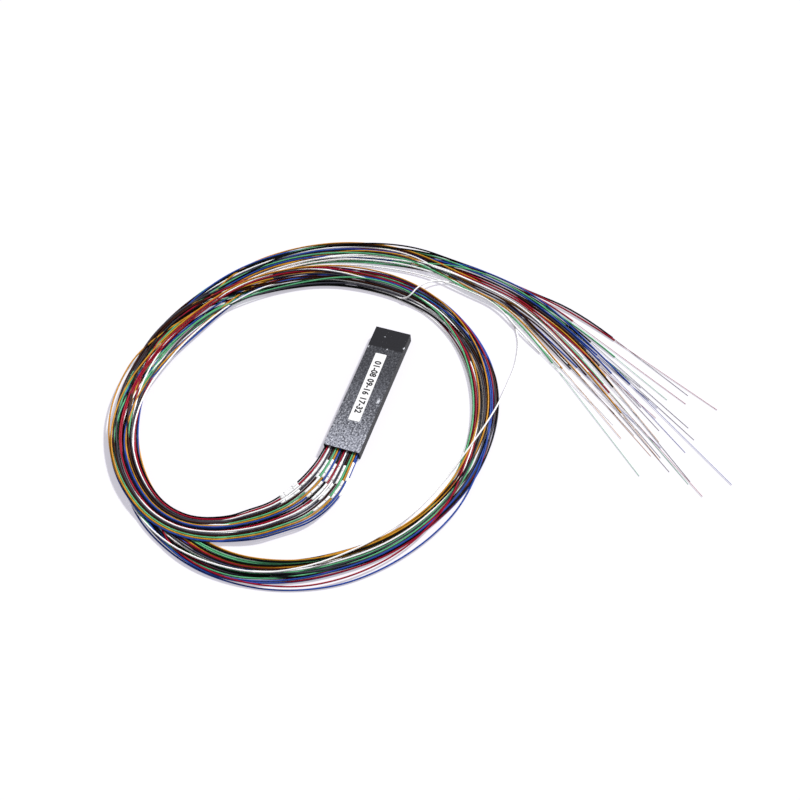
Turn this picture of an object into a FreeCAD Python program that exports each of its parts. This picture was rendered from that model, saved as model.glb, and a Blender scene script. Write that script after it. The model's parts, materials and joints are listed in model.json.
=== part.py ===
import FreeCAD, Part
import math
import os
from FreeCAD import Vector

# Splitter module with one input and thirty-two output fibres, in millimetres.
# The origin is the middle of the housing's underside. +X points along the housing to the
# end that the fibres leave, +Y runs across it and +Z points up.

# Housing: a drawn rectangular tube, closed by a plug at the rear and a seal at the front.
HOUSING_LENGTH = 80.0
HOUSING_WIDTH = 20.0
HOUSING_HEIGHT = 6.0
WALL = 0.6
OUTER_EDGE_RADIUS = 0.25
REAR_PLUG_DEPTH = 5.0
SEAL_DEPTH = 6.0
SEAL_RECESS = 0.8

# Label on the top face.
LABEL_LENGTH = 45.0
LABEL_WIDTH = 6.3
LABEL_THICKNESS = 0.1
LABEL_CORNER_RADIUS = 0.5
LABEL_FROM_REAR = 17.0
LABEL_OFFSET = -0.4
LABEL_TURN = 1.1

# Jacketed fibres: two rows of sixteen leave the seal, with the input fibre between the rows.
JACKET_DIAMETER = 0.9
JACKET_SIDES = 6
COATED_DIAMETER = 0.25
COATED_SIDES = 4
OUTPUTS = 32
COLUMNS = 16
SEAL_EDGE = 0.7
ROW_RISE = 1.4
JACKET_BEYOND_SEAL = 1.0

# Optical chip with a fibre array bonded to each end, lying on two soft pads.
PAD_LENGTH = 6.0
CHIP_LENGTH = 16.0
CHIP_WIDTH = 5.5
CHIP_THICKNESS = 1.2
CHIP_FROM_REAR = 19.0
LID_THICKNESS = 1.2
CHIP_LID_LENGTH = 4.0
INPUT_ARRAY_LENGTH = 7.0
INPUT_ARRAY_WIDTH = 2.5
INPUT_LID_LENGTH = 5.0
OUTPUT_ARRAY_LENGTH = 10.0
OUTPUT_LID_LENGTH = 4.5
SHELF_DROP = 0.45
GROOVE_PITCH = 0.127
GROOVE_DEPTH = 0.09
LOOP_RADIUS = 6.0
SWERVE_RADIUS = 15.0

# Ribbons between the output array and the jackets.
RIBBONS = 4
FIBRES_IN_RIBBON = 8
RIBBON_WIDTH = 2.1
RIBBON_THICKNESS = 0.3
RIBBON_BEYOND_ARRAY = 3.0

# Number sleeves on the output fibres.
SLEEVE_LENGTH = 11.6
SLEEVE_DIAMETER = 1.3
SLEEVE_BORE = 1.14
SLEEVE_PITCH = 1.46

# Route of the fibre bundle from the seal to the coil, as points along its middle, with the
# spacing of the columns from the second point on.
LEAD_POINTS = ((45.4, 0.0), (62.0, -1.7), (76.3, -8.2), (86.4, -18.1), (94.0, -28.0))
LEAD_SPREAD = (SLEEVE_PITCH, SLEEVE_PITCH, 1.12, 1.12)
LEAD_HEIGHT = (HOUSING_HEIGHT / 2, 2.9, 2.7, 2.4, 2.4)
LEAD_ROW_RISE = (ROW_RISE, 1.35, 1.25, 1.1, 1.1)

# Where each sleeve starts, measured along its fibre from the housing: upper row, then lower row,
# from the +Y side to the -Y side.
SLEEVE_STARTS = (
    5.5, 17.2, 28.0, 8.5, 20.5, 7.0, 21.5, 9.0, 21.0, 7.0, 18.7, 8.0, 30.0, 15.3, 27.0, 26.0,
    13.5, 29.0, 16.0, 31.0, 9.0, 22.0, 31.5, 12.0, 24.0, 10.0, 30.0, 17.0, 31.0, 18.0, 31.5, 14.0,
)

# Coil: its middle, then the radius and half-width of the bundle every thirty degrees, from the
# point where the lead reaches it, through one and a half turns and more, to where the tails leave.
COIL_CENTRE = (16.0, -28.0)
COIL_STEP = 30.0
COIL_STATIONS = (
    (78.0, 9.1), (98.0, 8.4), (95.5, 8.0), (88.5, 8.0), (88.0, 8.0), (90.5, 8.0), (89.0, 8.2),
    (92.0, 8.0), (92.0, 7.5), (93.5, 7.0), (97.5, 7.5), (99.5, 8.5), (101.7, 9.0), (105.0, 9.0),
    (103.5, 8.5), (97.0, 8.5), (99.0, 8.5), (101.0, 8.5), (108.5, 9.0), (122.0, 9.8),
)
COIL_HEIGHT = 6.0

# Tails: heading where they leave the coil, then each fibre's jacket end and bare tip.
TAIL_HEADING = 14.0
TAIL_SHARE = 0.31
TAIL_LAYERS = (0.5, 1.5, 2.5)
TIP_HEIGHTS = (0.2, 0.55, 0.9)
COIL_EXIT_WIDTH = 18.0
TAILS = (
    (8, (-73.8, 114.5), (-48.4, 161.7)),
    (15, (-72.3, 116.0), (-43.9, 178.0)),
    (9, (-46.5, 131.0), (-1.5, 194.4)),
    (16, (-67.5, 104.0), (-28.5, 166.4)),
    (7, (-78.5, 91.0), (-42.8, 161.8)),
    (3, (-74.5, 88.0), (-49.0, 130.5)),
    (24, (-64.0, 106.5), (-22.2, 170.8)),
    (11, (-61.5, 119.0), (-42.5, 151.9)),
    (1, (-60.0, 109.5), (-35.7, 148.2)),
    (17, (-50.5, 120.0), (-13.4, 168.2)),
    (5, (-70.0, 95.0), (-46.0, 137.0)),
    (4, (-66.5, 96.0), (-39.5, 143.0)),
    (12, (-53.5, 112.5), (-22.5, 152.5)),
    (13, (-61.5, 103.0), (-33.8, 140.1)),
    (23, (-54.5, 109.5), (-29.5, 149.0)),
    (32, (-42.0, 123.0), (2.8, 174.4)),
    (2, (-47.5, 117.5), (-15.7, 154.0)),
    (31, (-38.0, 122.0), (9.5, 182.0)),
    (19, (-42.5, 117.5), (4.6, 173.8)),
    (6, (-56.0, 103.0), (-27.0, 141.0)),
    (14, (-47.5, 108.0), (-17.0, 148.0)),
    (21, (-44.0, 112.0), (-6.5, 157.0)),
    (10, (-27.5, 131.0), (-5.0, 156.8)),
    (28, (-49.0, 97.5), (-15.7, 140.8)),
    (20, (-45.5, 107.5), (0.3, 163.1)),
    (25, (-49.0, 101.5), (-12.3, 155.7)),
    (29, (-47.0, 98.5), (-25.9, 127.9)),
    (18, (-44.0, 104.5), (-6.1, 152.1)),
    (22, (-49.5, 96.0), (-20.0, 141.0)),
    (26, (-46.0, 94.0), (-12.0, 135.0)),
    (30, (-46.5, 92.5), (-19.0, 129.0)),
    (27, (-48.0, 88.0), (7.2, 149.3)),
    (0, (-52.5, 80.0), (-27.0, 117.0)),
)

# Each corner of a route is an arc that takes this share of the shorter run beside it, and a run
# is at most this long.
ARC_SHARE = 0.45
LONGEST_RUN = 60.0
SAG_SHARE = 0.35

UP = Vector(0, 0, 1)
AHEAD = Vector(1, 0, 0)

front = HOUSING_LENGTH / 2
rear = -front
inner_half_width = HOUSING_WIDTH / 2 - WALL
middle_height = HOUSING_HEIGHT / 2
column_pitch = (2 * (inner_half_width - SEAL_EDGE)) / (COLUMNS - 1)
seal_front = front - SEAL_RECESS
seal_rear = seal_front - SEAL_DEPTH
jacket_start = seal_rear - JACKET_BEYOND_SEAL
chip_rear = rear + CHIP_FROM_REAR
chip_front = chip_rear + CHIP_LENGTH
fibre_plane = middle_height
chip_base = fibre_plane - CHIP_THICKNESS
lane = inner_half_width - 2 * COATED_DIAMETER
chip_axis = lane - 2 * LOOP_RADIUS
array_front = chip_front + OUTPUT_ARRAY_LENGTH
shelf_rear = chip_front + OUTPUT_LID_LENGTH
shelf_height = fibre_plane - SHELF_DROP - RIBBON_THICKNESS
ribbon_front = array_front + RIBBON_BEYOND_ARRAY


def block(x_from, x_to, y_from, y_to, z_from, z_to):
    """Return a box between two opposite corners."""
    return Part.makeBox(x_to - x_from, y_to - y_from, z_to - z_from, Vector(x_from, y_from, z_from))


def rectangle(width, height, radius):
    """Return a closed outline across X, centred on the housing's axis, with rounded corners."""
    outline = []
    corners = ((1, 1, 0), (-1, 1, 90), (-1, -1, 180), (1, -1, 270))
    for side, level, start in corners:
        centre = Vector(rear, side * (width / 2 - radius), middle_height + level * (height / 2 - radius))
        points = [centre + radius * Vector(0, math.cos(math.radians(start + turn)),
                                           math.sin(math.radians(start + turn))) for turn in (0, 45, 90)]
        outline.append(Part.Arc(*points).toShape())
    sides = [Part.makeLine(outline[i - 1].Vertexes[-1].Point, outline[i].Vertexes[0].Point)
             for i in range(len(outline))]
    edges = [edge for pair in zip(sides, outline) for edge in pair]
    return Part.Wire(edges)


def section(centre, heading, diameter, sides, flat_up=True):
    """Return a regular outline across a heading, with its flats a diameter apart and a flat or corner up."""
    across = heading.cross(UP).normalize()
    level = across.cross(heading).normalize()
    radius = diameter / 2 / math.cos(math.pi / sides)
    first = 0.5 if flat_up else 0.0
    turns = [2 * math.pi * (step + first) / sides for step in range(sides)]
    points = [centre + across * (radius * math.sin(turn)) + level * (radius * math.cos(turn))
              for turn in turns]
    return Part.makePolygon(points + points[:1])


def bends(points):
    """Return the tangent arc at each inner point of a route: its ends, middle, centre, axis and turn."""
    arcs = []
    for before, corner, after in zip(points, points[1:], points[2:]):
        inward = corner - before
        outward = after - corner
        turn = inward.getAngle(outward)
        reach = ARC_SHARE * min(inward.Length, outward.Length)
        radius = reach / math.tan(turn / 2)
        axis = inward.cross(outward).normalize()
        start = corner - inward.normalize() * reach
        end = corner + outward.normalize() * reach
        centre = start + axis.cross(inward) * radius
        middle = centre + (corner - centre).normalize() * radius
        arcs.append((start, middle, end, centre, axis, math.degrees(turn)))
    return arcs


def centre_line(points):
    """Return a route's straight runs and tangent arcs as one wire."""
    edges = []
    place = points[0]
    for start, middle, end, *_ in bends(points):
        edges += [Part.LineSegment(place, start).toShape(), Part.Arc(start, middle, end).toShape()]
        place = end
    edges.append(Part.LineSegment(place, points[-1]).toShape())
    return Part.Wire(edges)


def swept(outline, moves):
    """Return the solid that an outline leaves behind along straight moves and turns."""
    skin = [Part.Face(outline)]
    for move in moves:
        if len(move) == 1:
            skin += outline.extrude(*move).Faces
            outline.translate(*move)
        else:
            skin += outline.revolve(*move).Faces
            outline.rotate(*move)
    skin.append(Part.Face(outline))
    shell = Part.makeShell(skin)
    shell.sewShape()
    solid = Part.makeSolid(shell)
    if solid.Volume < 0:
        solid.reverse()
    return solid


def tube(points, diameter, sides, flat_up=True):
    """Return a solid of one section along a route."""
    moves = []
    place = points[0]
    for start, _, end, centre, axis, turn in bends(points):
        moves += [(start - place,), (centre, axis, turn)]
        place = end
    moves.append((points[-1] - place,))
    return swept(section(points[0], points[1] - points[0], diameter, sides, flat_up), moves)


def column_and_row(number):
    """Return where an output leaves the seal: columns from the +Y side, and 1 or -1 for the row."""
    if number <= COLUMNS:
        return number - 1, 1
    return number - COLUMNS - 1, -1


def lead_route(number):
    """Return the points of one fibre from inside the housing to the start of the coil."""
    if number:
        column, row = column_and_row(number)
        place = (COLUMNS - 1) / 2 - column
    else:
        place, row = 0.0, 0
    points = [Vector(jacket_start, place * column_pitch, middle_height + row * ROW_RISE)]
    spreads = (column_pitch,) + LEAD_SPREAD
    middles = [Vector(x, y, 0) for x, y in LEAD_POINTS]
    runs = [(after - before).normalize() for before, after in zip(middles, middles[1:])]
    headings = [AHEAD] + [(one + other).normalize() for one, other in zip(runs, runs[1:])] + runs[-1:]
    for index, middle in enumerate(middles):
        offset = UP.cross(headings[index]) * (place * spreads[index])
        height = Vector(0, 0, LEAD_HEIGHT[index] + row * LEAD_ROW_RISE[index])
        points.append(middle + offset + height)
    return points


def coil_point(step):
    """Return the middle of the bundle at one step of the coil."""
    angle = math.radians(step * COIL_STEP)
    radius = COIL_STATIONS[step][0]
    return Vector(*COIL_CENTRE, 0) + Vector(math.cos(angle), -math.sin(angle), 0) * radius


def coil_heading(step):
    """Return the direction of the bundle at one step of the coil."""
    if step == 0:
        return (Vector(*LEAD_POINTS[-1], 0) - Vector(*LEAD_POINTS[-2], 0)).normalize()
    if step == len(COIL_STATIONS) - 1:
        return tail_heading()
    return (coil_point(step + 1) - coil_point(step - 1)).normalize()


def tail_heading():
    """Return the direction in which the tails leave the coil."""
    angle = math.radians(TAIL_HEADING)
    return Vector(math.sin(angle), math.cos(angle), 0)


def coil_band(first, last):
    """Return the part of the coil between two steps, as a flat band of the coil's height."""
    edges = []
    for side in (1, -1):
        points = [coil_point(step) + coil_heading(step).cross(UP) * (side * COIL_STATIONS[step][1])
                  for step in range(first, last + 1)]
        curve = Part.BSplineCurve()
        curve.interpolate(points)
        edges.append(curve.toShape())
    ends = [Part.makeLine(edges[0].valueAt(edges[0].ParameterRange[end]),
                          edges[1].valueAt(edges[1].ParameterRange[end])) for end in (0, 1)]
    outline = Part.Wire(Part.__sortEdges__(edges + ends))
    return Part.Face(outline).extrude(Vector(0, 0, COIL_HEIGHT))


def tail_route(order):
    """Return the points of one fibre from the end of the coil to the end of its jacket."""
    number, jacket_end, tip = TAILS[order]
    heading = tail_heading()
    share = order / (len(TAILS) - 1) - 0.5
    height = Vector(0, 0, TAIL_LAYERS[order % len(TAIL_LAYERS)])
    start = coil_point(len(COIL_STATIONS) - 1) + heading.cross(UP) * (share * COIL_EXIT_WIDTH)
    end = Vector(*jacket_end, 0)
    handle = TAIL_SHARE * (end - start).Length
    last_heading = (Vector(*tip, 0) - end).normalize()
    middles = (start, start + heading * handle, end - last_heading * handle, end)
    return [middle + height for middle in middles]


def row_axes():
    """Return the place across and the height of every bore in the seal."""
    middle = (COLUMNS - 1) / 2
    outputs = [((middle - column) * column_pitch, middle_height + row * ROW_RISE)
               for row in (1, -1) for column in range(COLUMNS)]
    return [(0.0, middle_height)] + outputs


def housing_tube():
    """Return the rectangular tube, open at both ends."""
    outer = Part.Face(rectangle(HOUSING_WIDTH, HOUSING_HEIGHT, OUTER_EDGE_RADIUS))
    inner = block(rear, front, -inner_half_width, inner_half_width, WALL, HOUSING_HEIGHT - WALL)
    return outer.extrude(Vector(HOUSING_LENGTH, 0, 0)).cut(inner)


def rear_plug():
    """Return the plug that closes the rear of the tube, flush with its end."""
    return block(rear, rear + REAR_PLUG_DEPTH, -inner_half_width, inner_half_width,
                 WALL, HOUSING_HEIGHT - WALL)


def front_seal():
    """Return the seal in the front of the tube, with a bore for every fibre."""
    seal = block(seal_rear, seal_front, -inner_half_width, inner_half_width,
                 WALL, HOUSING_HEIGHT - WALL)
    depth = Vector(SEAL_DEPTH, 0, 0)
    bores = [Part.Face(section(Vector(seal_rear, y, z), AHEAD, JACKET_DIAMETER, JACKET_SIDES, False))
             .extrude(depth) for y, z in row_axes()]
    return seal.cut(Part.makeCompound(bores))


def label():
    """Return the label on the housing's top face, with rounded corners."""
    start = rear + LABEL_FROM_REAR
    side = LABEL_OFFSET - LABEL_WIDTH / 2
    sheet = block(start, start + LABEL_LENGTH, side, side + LABEL_WIDTH,
                  HOUSING_HEIGHT, HOUSING_HEIGHT + LABEL_THICKNESS)
    upright = [edge for edge in sheet.Edges if abs(edge.tangentAt(edge.FirstParameter).z) > 0.9]
    rounded = sheet.makeFillet(LABEL_CORNER_RADIUS, upright)
    return rounded.rotate(sheet.BoundBox.Center, UP, LABEL_TURN)


def across_axis(width):
    """Return the two sides of something of a given width on the chip's axis."""
    return chip_axis - width / 2, chip_axis + width / 2


def chip_pad(x_middle):
    """Return one soft pad between the tube's floor and the chip assembly."""
    return block(x_middle - PAD_LENGTH / 2, x_middle + PAD_LENGTH / 2,
                 *across_axis(CHIP_WIDTH), WALL, chip_base)


def plc_chip():
    """Return the chip's slab."""
    return block(chip_rear, chip_front, *across_axis(CHIP_WIDTH), chip_base, fibre_plane)


def chip_lid(start):
    """Return one of the glass lids bonded on an end of the chip."""
    return block(start, start + CHIP_LID_LENGTH, *across_axis(CHIP_WIDTH),
                 fibre_plane, fibre_plane + LID_THICKNESS)


def grooved_block(start, length, width, count, shelf_start, shelf_end):
    """Return an array block: V grooves in its top beside the chip, and a lower shelf behind."""
    side, other_side = across_axis(width)
    first = chip_axis - (count - 1) / 2 * GROOVE_PITCH
    outline = [(side, chip_base), (side, fibre_plane)]
    for index in range(count):
        middle = first + index * GROOVE_PITCH
        half = GROOVE_PITCH * 0.4
        outline += [(middle - half, fibre_plane), (middle, fibre_plane - GROOVE_DEPTH),
                    (middle + half, fibre_plane)]
    outline += [(other_side, fibre_plane), (other_side, chip_base), (side, chip_base)]
    profile = Part.Face(Part.makePolygon([Vector(start, y, z) for y, z in outline]))
    shelf = block(shelf_start, shelf_end, side, other_side, shelf_height, fibre_plane)
    return profile.extrude(Vector(length, 0, 0)).cut(shelf)


def input_array_block():
    """Return the single-groove block at the rear of the chip."""
    start = chip_rear - INPUT_ARRAY_LENGTH
    return grooved_block(start, INPUT_ARRAY_LENGTH, INPUT_ARRAY_WIDTH, 1,
                         start, chip_rear - INPUT_LID_LENGTH)


def input_array_lid():
    """Return the lid that holds the input fibre in its groove."""
    return block(chip_rear - INPUT_LID_LENGTH, chip_rear, *across_axis(INPUT_ARRAY_WIDTH),
                 fibre_plane, fibre_plane + LID_THICKNESS)


def output_array_block():
    """Return the thirty-two-groove block at the front of the chip."""
    return grooved_block(chip_front, OUTPUT_ARRAY_LENGTH, CHIP_WIDTH, OUTPUTS,
                         shelf_rear, array_front)


def output_array_lid():
    """Return the lid that holds the output fibres in their grooves."""
    return block(chip_front, shelf_rear, *across_axis(CHIP_WIDTH),
                 fibre_plane, fibre_plane + LID_THICKNESS)


def ribbon_place(ribbon):
    """Return the middle of a ribbon across the module and in height: 0 and 1 lie over 2 and 3."""
    side = 1 if ribbon % 2 == 0 else -1
    layer = 1 if ribbon < 2 else 0
    y = chip_axis + side * RIBBON_WIDTH / 2
    return y, shelf_height + (layer + 0.5) * RIBBON_THICKNESS


def fibre_ribbon(ribbon):
    """Return a ribbon with its eight coated fibres fanned out to their jackets."""
    y, z = ribbon_place(ribbon)
    body = block(shelf_rear, ribbon_front, y - RIBBON_WIDTH / 2, y + RIBBON_WIDTH / 2,
                 z - RIBBON_THICKNESS / 2, z + RIBBON_THICKNESS / 2)
    legs = []
    for index in range(FIBRES_IN_RIBBON):
        end = lead_route(ribbon * FIBRES_IN_RIBBON + index + 1)[0]
        start_y = y + (FIBRES_IN_RIBBON - 1 - 2 * index) / 2 * COATED_DIAMETER
        start = Vector(ribbon_front - RIBBON_THICKNESS, start_y, z)
        legs.append(straight_rod(start, end, COATED_DIAMETER, COATED_SIDES))
    return body.multiFuse(legs)


def straight_rod(start, end, diameter, sides):
    """Return a straight rod whose two ends lie square to the housing's axis."""
    return Part.Face(section(start, AHEAD, diameter, sides)).extrude(end - start)


def input_lead():
    """Return the coated input fibre: back from its jacket, along one wall and round to the chip."""
    start = Vector(jacket_start, 0, middle_height)
    swerve = math.degrees(math.acos(1 - lane / (2 * SWERVE_RADIUS)))
    swerve_end = jacket_start - 2 * SWERVE_RADIUS * math.sin(math.radians(swerve))
    swerve_middle = Vector((jacket_start + swerve_end) / 2, lane / 2, middle_height)
    array_rear = chip_rear - INPUT_ARRAY_LENGTH
    first_centre = start + Vector(0, SWERVE_RADIUS, 0)
    second_centre = swerve_middle * 2 - first_centre
    loop_centre = Vector(array_rear, lane - LOOP_RADIUS, middle_height)
    moves = (
        (first_centre, UP.negative(), swerve),
        (second_centre, UP, swerve),
        (Vector(array_rear - swerve_end, 0, 0),),
        (loop_centre, UP, 180),
        (Vector(INPUT_ARRAY_LENGTH - INPUT_LID_LENGTH, 0, 0),),
    )
    return swept(section(start, AHEAD.negative(), COATED_DIAMETER, COATED_SIDES), moves)


def number_sleeve(number):
    """Return the short sleeve on one output fibre, bent a little at its middle as the fibre bends."""
    line = centre_line(lead_route(number))
    start = front - jacket_start + SLEEVE_STARTS[number - 1]
    points = [line_point(line, start + share * SLEEVE_LENGTH) for share in (0, 0.5, 1)]
    headings = (points[1] - points[0], points[2] - points[0], points[2] - points[1])
    outer, bore = [Part.makeLoft([section(point, heading, size, JACKET_SIDES, False)
                                  for point, heading in zip(points, headings)], True, True)
                   for size in (SLEEVE_DIAMETER, SLEEVE_BORE)]
    return outer.cut(bore)


def line_point(line, distance):
    """Return the point at a distance along a wire."""
    for edge in line.OrderedEdges:
        if distance <= edge.Length:
            return edge.valueAt(edge.getParameterByLength(distance))
        distance -= edge.Length
    raise ValueError("the wire ends before this distance")


def bare_tip(order):
    """Return the coated fibre that shows beyond one jacket, sagging to the ground if it is long."""
    start = tail_route(order)[-1]
    end = Vector(*TAILS[order][2], TIP_HEIGHTS[order % len(TIP_HEIGHTS)])
    points = [start, end]
    if (end - start).Length > LONGEST_RUN:
        sag = Vector(0, 0, -SAG_SHARE * (start.z - end.z))
        points.insert(1, (start + end) * 0.5 + sag)
    return tube(points, COATED_DIAMETER, COATED_SIDES)


def fibre_coil():
    """Return the outer shape of the coiled bundle as one solid."""
    last = len(COIL_STATIONS) - 1
    return coil_band(0, last // 2).fuse(coil_band(last // 2, last)).removeSplitter()


def jacketed_fibre(number):
    """Return the two stretches of one jacketed fibre: from the housing to the coil, and its tail."""
    order = [tail[0] for tail in TAILS].index(number)
    stretches = []
    for route, flat_up in ((lead_route(number), False), (tail_route(order), True)):
        solid = tube(route, JACKET_DIAMETER, JACKET_SIDES, flat_up)
        line = centre_line(route)
        area = Part.Face(section(route[0], route[1] - route[0], JACKET_DIAMETER, JACKET_SIDES)).Area
        radii = [edge.Curve.Radius for edge in line.Edges if isinstance(edge.Curve, Part.Circle)]
        print(f"  fibre {number:2d}: {line.Length:6.1f} mm, radii "
              + " ".join(f"{radius:6.1f}" for radius in radii)
              + f", volume off by {solid.Volume / (area * line.Length) - 1:+.5f}")
        stretches.append(solid)
    return Part.makeCompound(stretches)


def save(name, shape):
    """Write one sub-part and report its volume."""
    if not shape.isValid() or shape.Volume <= 0:
        raise ValueError(f"{name} is not a valid solid")
    shape.exportStep(f"parts/{name}.step")
    print(f"{name:24s} {len(shape.Solids):3d} solids {shape.Volume:10.3f} mm3")


os.makedirs("parts", exist_ok=True)
save("housing_tube", housing_tube())
save("rear_plug", rear_plug())
save("front_seal", front_seal())
save("label", label())
save("chip_pad_rear", chip_pad(chip_rear + PAD_LENGTH / 2))
save("chip_pad_front", chip_pad(array_front - PAD_LENGTH / 2))
save("plc_chip", plc_chip())
save("chip_input_lid", chip_lid(chip_rear))
save("chip_output_lid", chip_lid(chip_front - CHIP_LID_LENGTH))
save("input_array_block", input_array_block())
save("input_array_lid", input_array_lid())
save("output_array_block", output_array_block())
save("output_array_lid", output_array_lid())
save("input_lead", input_lead())
for ribbon in range(RIBBONS):
    save(f"fibre_ribbon_{ribbon + 1}", fibre_ribbon(ribbon))
save("number_sleeves", Part.makeCompound([number_sleeve(number) for number in range(1, OUTPUTS + 1)]))
save("fibre_coil", fibre_coil())
save("input_fibre", jacketed_fibre(0))
for number in range(1, OUTPUTS + 1):
    save(f"output_fibre_{number:02d}", jacketed_fibre(number))
save("bare_fibre_tips", Part.makeCompound([bare_tip(order) for order in range(len(TAILS))]))
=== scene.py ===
"""Dress of a one-to-thirty-two optical splitter: housing, label, sleeves and coiled fibres.

All sizes are in metres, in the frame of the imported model: the origin is the middle of the
housing's underside, +X points to the end that the fibres leave and +Z points up.
"""

from __future__ import annotations

import json
import logging
import math
from collections.abc import Mapping, Sequence
from dataclasses import dataclass, field
from enum import Enum

import bpy
import numpy as np
from bpy.types import ID, Material, Mesh, Node, NodeSocket, Object
from mathutils import Matrix, Vector

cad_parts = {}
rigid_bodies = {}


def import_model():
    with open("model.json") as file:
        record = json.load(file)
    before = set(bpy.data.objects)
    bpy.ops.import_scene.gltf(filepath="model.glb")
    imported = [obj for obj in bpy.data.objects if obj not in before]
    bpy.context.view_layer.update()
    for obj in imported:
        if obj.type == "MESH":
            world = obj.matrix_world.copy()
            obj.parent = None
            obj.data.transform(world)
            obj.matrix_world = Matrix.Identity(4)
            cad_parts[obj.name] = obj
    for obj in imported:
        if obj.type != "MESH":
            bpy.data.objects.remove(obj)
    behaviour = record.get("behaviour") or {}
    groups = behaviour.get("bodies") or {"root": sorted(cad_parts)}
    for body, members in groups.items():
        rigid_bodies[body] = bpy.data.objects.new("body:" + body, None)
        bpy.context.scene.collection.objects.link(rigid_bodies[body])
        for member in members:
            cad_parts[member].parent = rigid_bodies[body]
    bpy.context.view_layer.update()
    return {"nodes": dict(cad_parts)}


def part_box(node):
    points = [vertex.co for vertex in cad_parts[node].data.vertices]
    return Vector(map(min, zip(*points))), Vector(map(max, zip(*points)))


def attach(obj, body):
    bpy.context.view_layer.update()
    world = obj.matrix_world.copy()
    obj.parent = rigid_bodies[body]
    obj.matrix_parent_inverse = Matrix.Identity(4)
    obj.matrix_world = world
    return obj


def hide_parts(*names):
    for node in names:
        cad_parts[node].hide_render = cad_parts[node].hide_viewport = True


LOG = logging.getLogger("splitter")
Triple = tuple[float, float, float]

# Way of the bundle from the seal to the coil: points along its middle, then at each of them the
# spacing of the columns, the height of the middle and how far above or below it each row lies.
LEAD_POINTS = ((0.0454, 0.0), (0.0620, -0.0017), (0.0763, -0.0082), (0.0864, -0.0181), (0.0940, -0.0280))
LEAD_SPREAD = (0.00116, 0.00146, 0.00146, 0.00112, 0.00112)
LEAD_HEIGHT = (0.0030, 0.0029, 0.0027, 0.0024, 0.0024)
LEAD_ROW_RISE = (0.0014, 0.00135, 0.00125, 0.0011, 0.0011)

# Places along X: where the jackets start inside the housing, and the front of the housing.
JACKET_START = 0.0322
HOUSING_FRONT = 0.0400

# Coil: its middle, then the angle, middle radius and half-width of the bundle along it. The
# first pass lies over the second between about 20 and 130 degrees.
COIL_CENTRE = np.array((0.0160, -0.0280))
COIL_END = 570.0
COIL_PATH = (
    (0, 0.0785, 0.0096), (10, 0.0864, 0.0088), (20, 0.0950, 0.0070), (30, 0.0995, 0.0066),
    (45, 0.1012, 0.0072), (60, 0.1003, 0.0084), (75, 0.0972, 0.0096), (90, 0.0934, 0.0108),
    (105, 0.0915, 0.0112), (120, 0.0897, 0.0098), (135, 0.0880, 0.0082), (150, 0.0876, 0.0074),
    (180, 0.0889, 0.0075), (210, 0.0920, 0.0070), (240, 0.0938, 0.0078), (270, 0.0940, 0.0068),
    (300, 0.0952, 0.0050), (330, 0.0970, 0.0062), (345, 0.0998, 0.0068), (360, 0.1025, 0.0078),
    (375, 0.1025, 0.0080), (390, 0.1010, 0.0078), (405, 0.1000, 0.0072), (420, 0.0985, 0.0066),
    (435, 0.0975, 0.0066), (450, 0.0966, 0.0066), (465, 0.0966, 0.0068), (480, 0.0975, 0.0070),
    (495, 0.0995, 0.0068), (510, 0.1020, 0.0067), (525, 0.1050, 0.0070), (540, 0.1084, 0.0073),
    (555, 0.1148, 0.0082), (570, 0.1220, 0.0098),
)

# Fibres that stand off from the bundle for a while: number, then angles and radii.
STRAYS = (
    (1, (280, 0.1000), (290, 0.1027), (310, 0.1056), (330, 0.1091), (350, 0.1101), (370, 0.1100),
     (395, 0.1080)),
    (7, (300, 0.0995), (310, 0.1025), (325, 0.1058), (340, 0.1084), (360, 0.1091), (375, 0.1086)),
    (2, (55, 0.1078), (70, 0.1072), (80, 0.1054), (88, 0.1036)),
    (2, (500, 0.1062), (512, 0.1092), (524, 0.1122), (536, 0.1148), (552, 0.1172)),
    (8, (520, 0.1080), (532, 0.1122), (545, 0.1184), (556, 0.1228)),
    (12, (508, 0.1070), (522, 0.1106), (538, 0.1140), (550, 0.1160)),
)

# The input's way through the coil, wound round the bundle: angle, radius and height of each point.
INPUT_TURNS = (
    (20, 0.0940, 0.0022), (40, 0.1000, 0.0014), (60, 0.1005, 0.0010), (80, 0.0975, 0.0008),
    (100, 0.0930, 0.0006), (120, 0.0892, 0.0005), (140, 0.0872, 0.0005), (160, 0.0868, 0.0005),
    (176, 0.0862, 0.0005), (186, 0.0852, 0.0005), (192.5, 0.0846, 0.0006), (197.2, 0.0848, 0.0022),
    (198.9, 0.0880, 0.0046), (198.6, 0.0945, 0.0046), (199.6, 0.1015, 0.0036), (201.5, 0.1075, 0.0016),
    (206, 0.1130, 0.0006), (213, 0.1180, 0.0005), (221, 0.1216, 0.0005), (230, 0.1216, 0.0005),
    (239, 0.1140, 0.0006), (247, 0.1056, 0.0016), (253, 0.1014, 0.0036), (260, 0.0966, 0.0042),
    (267, 0.0926, 0.0042), (275, 0.0894, 0.0034), (284, 0.0874, 0.0012), (294, 0.0874, 0.0006),
    (304, 0.0888, 0.0012), (314, 0.0912, 0.0034), (324, 0.0940, 0.0042), (338, 0.0992, 0.0044),
    (352, 0.1045, 0.0042), (368, 0.1066, 0.0038), (384, 0.1086, 0.0026), (402, 0.1086, 0.0010),
    (422, 0.1040, 0.0006), (444, 0.0990, 0.0006), (466, 0.0965, 0.0006), (488, 0.0965, 0.0006),
    (510, 0.0975, 0.0006), (530, 0.0985, 0.0006), (545, 0.1015, 0.0008), (558, 0.1070, 0.0008),
)

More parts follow.
